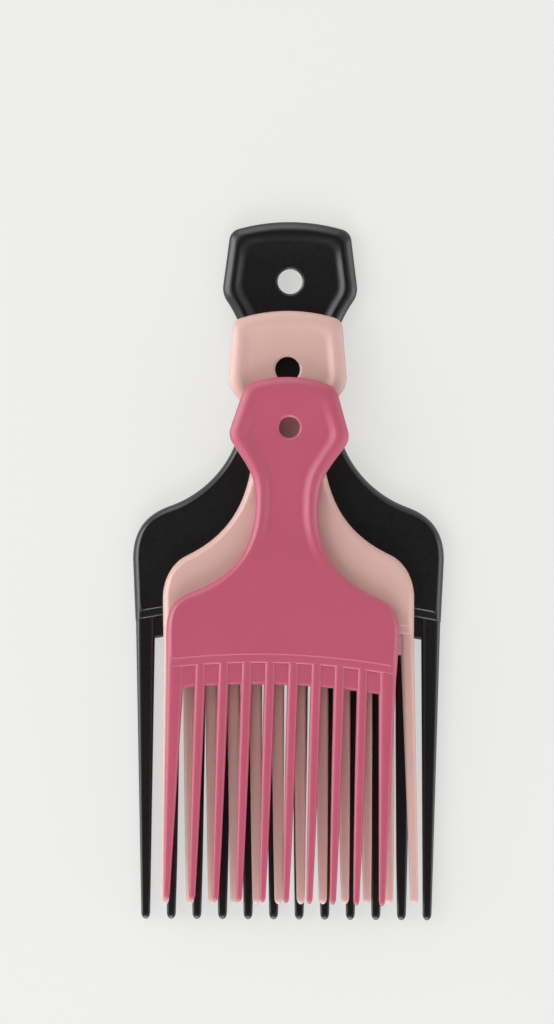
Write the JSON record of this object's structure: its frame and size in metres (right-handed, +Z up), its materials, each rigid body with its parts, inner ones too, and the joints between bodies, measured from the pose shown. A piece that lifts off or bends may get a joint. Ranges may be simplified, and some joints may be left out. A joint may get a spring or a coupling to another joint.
{
  "type": "set of nested afro picks",
  "caption": "Nested one-piece hair picks of one design in graded sizes, each with a dished handle, a hang hole and long tapered teeth.",
  "frame": {"origin": "middle of the large pick's outline, on the surface that the set lies on", "axes": "+X across the teeth, +Y from the tooth tips to the heads, +Z up through the stack, from the large pick to the small one"},
  "size_m": [0.0778, 0.1746, 0.0118],
  "materials": {
    "black_plastic": "moulded, satin",
    "blush_plastic": "moulded, satin",
    "pink_plastic": "moulded, satin"
  },
  "bodies": {
    "large_pick": {"large_head": "black_plastic", "large_body": "black_plastic", "large_teeth": "black_plastic"},
    "medium_pick": {"medium_head": "blush_plastic", "medium_body": "blush_plastic", "medium_teeth": "blush_plastic"},
    "small_pick": {"small_head": "pink_plastic", "small_body": "pink_plastic", "small_teeth": "pink_plastic"}
  },
  "joints": [
    {"name": "medium_lift", "type": "slide", "parent": "large_pick", "child": "medium_pick", "axis": [0, 0, 1], "range_m": [0, 0.05]},
    {"name": "small_lift", "type": "slide", "parent": "medium_pick", "child": "small_pick", "axis": [0, 0, 1], "range_m": [0, 0.05]}
  ]
}
